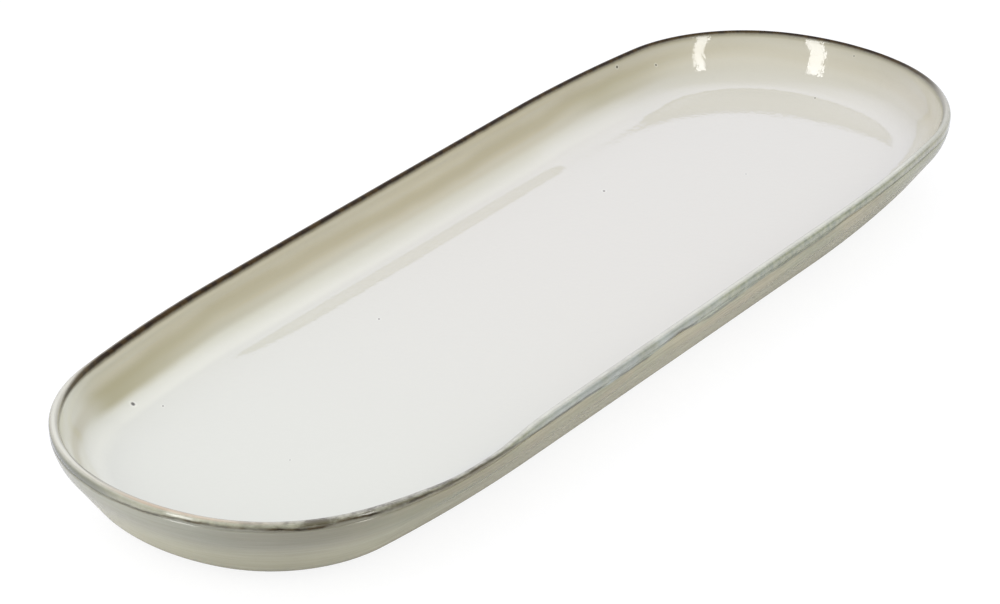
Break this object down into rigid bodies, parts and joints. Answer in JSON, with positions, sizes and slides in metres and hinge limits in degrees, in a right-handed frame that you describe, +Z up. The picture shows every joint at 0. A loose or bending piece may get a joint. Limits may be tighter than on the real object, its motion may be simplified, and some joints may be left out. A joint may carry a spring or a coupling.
{
  "type": "asparagus plate",
  "caption": "Long shallow stoneware serving plate with rounded ends, a leaning glazed wall and a low foot ring.",
  "frame": {"origin": "middle of the plate on the table plane, under the foot ring", "axes": "+X along the plate's length, +Y across it, +Z up out of the well"},
  "size_m": [0.3698, 0.126, 0.0275],
  "materials": {
    "bare_stoneware": "matte bare fired clay",
    "cream_glaze": "high gloss",
    "iron_wash": "satin",
    "olive_glaze": "gloss with fine brushed streaks",
    "underside_glaze": "satin"
  },
  "bodies": {
    "root": {"stoneware_body": "bare_stoneware", "well_glaze": "cream_glaze", "rim_band": "iron_wash", "outer_glaze": "olive_glaze", "base_glaze": "underside_glaze"}
  },
  "joints": []
}
